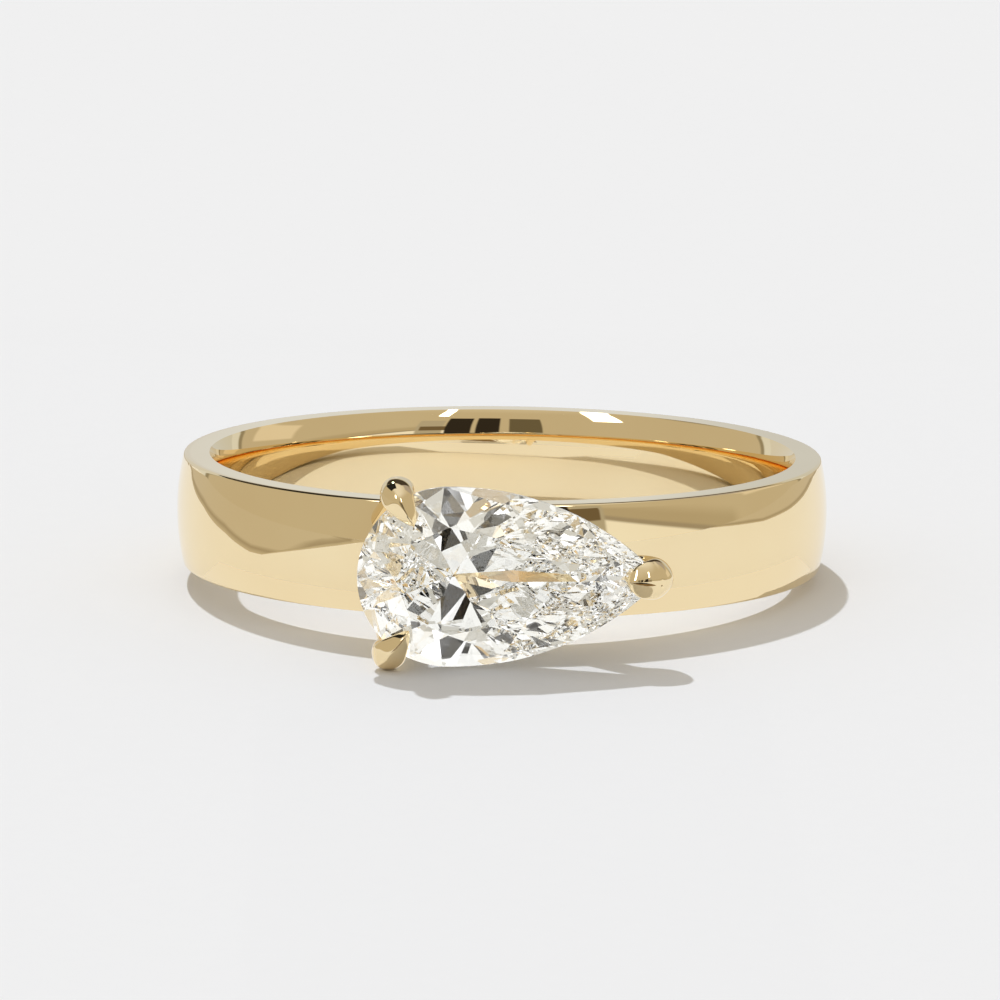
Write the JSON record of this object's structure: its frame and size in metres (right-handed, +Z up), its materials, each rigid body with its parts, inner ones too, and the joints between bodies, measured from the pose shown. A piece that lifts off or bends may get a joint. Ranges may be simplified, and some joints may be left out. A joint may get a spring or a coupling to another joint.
{
  "type": "solitaire engagement ring",
  "caption": "Wide plain gold band with a pear-shaped diamond set across the finger, held by claws over its round end and its point.",
  "frame": {"origin": "on the surface that the ring lies on, under the middle of its bounding box", "axes": "+Z up from the surface; the stone faces -Y and its point is towards +X; the finger's axis leans a few degrees from +Z, as the ring lies"},
  "size_m": [0.0192, 0.0225, 0.0055],
  "materials": {
    "gold": "polished",
    "diamond": "faceted and polished"
  },
  "bodies": {
    "root": {"band_and_setting": "gold", "stone": "diamond"}
  },
  "joints": []
}
